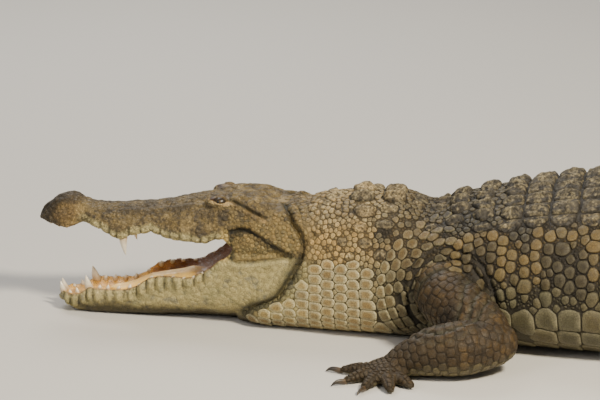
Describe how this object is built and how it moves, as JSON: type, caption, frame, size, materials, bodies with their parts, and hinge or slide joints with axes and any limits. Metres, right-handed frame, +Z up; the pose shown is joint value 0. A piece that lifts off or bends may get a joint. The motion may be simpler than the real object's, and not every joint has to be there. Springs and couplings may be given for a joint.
{
  "type": "nile crocodile",
  "caption": "Life-size adult crocodile lying on its belly with its jaws open, legs spread and tail laid back in a slow bend.",
  "frame": {"origin": "on the flat of the belly, on the middle line, 1.3 m behind the snout tip, at floor level", "axes": "+Z up, +Y from the head towards the tail, +X to the animal's left"},
  "size_m": [1.3396, 3.6405, 0.345],
  "materials": {
    "hide": "dry scaly hide, golden tan with dark creases",
    "back": "dry rough bony scutes, grey brown",
    "jaw": "smooth pale cracked skin, greenish cream",
    "mouth": "moist, yellow orange",
    "tooth": "cream enamel, stained at the root",
    "eye": "wet and glossy, dark with a green gold iris",
    "claw": "dark horn, worn dull"
  },
  "bodies": {
    "root": {"claw_foot_left_1": "claw", "claw_foot_left_2": "claw", "claw_foot_left_3": "claw", "claw_foot_right_1": "claw", "claw_foot_right_2": "claw", "claw_foot_right_3": "claw", "claw_hand_left_1": "claw", "claw_hand_left_2": "claw", "claw_hand_left_3": "claw", "claw_hand_right_1": "claw", "claw_hand_right_2": "claw", "claw_hand_right_3": "claw", "eye_left": "eye", "eye_right": "eye", "foot_left": "hide", "foot_right": "hide", "forearm_left": "hide", "forearm_right": "hide", "hand_left": "hide", "hand_right": "hide", "head_upper": "hide", "lower_jaw": "jaw", "neck": "hide", "shank_left": "hide", "shank_right": "hide", "tail_1": "back", "tail_2": "back", "tail_3": "back", "tail_4": "back", "thigh_left": "hide", "thigh_right": "hide", "tongue": "mouth", "trunk_front": "back", "trunk_rear": "back", "upper_arm_left": "hide", "upper_arm_right": "hide"}
  },
  "joints": []
}
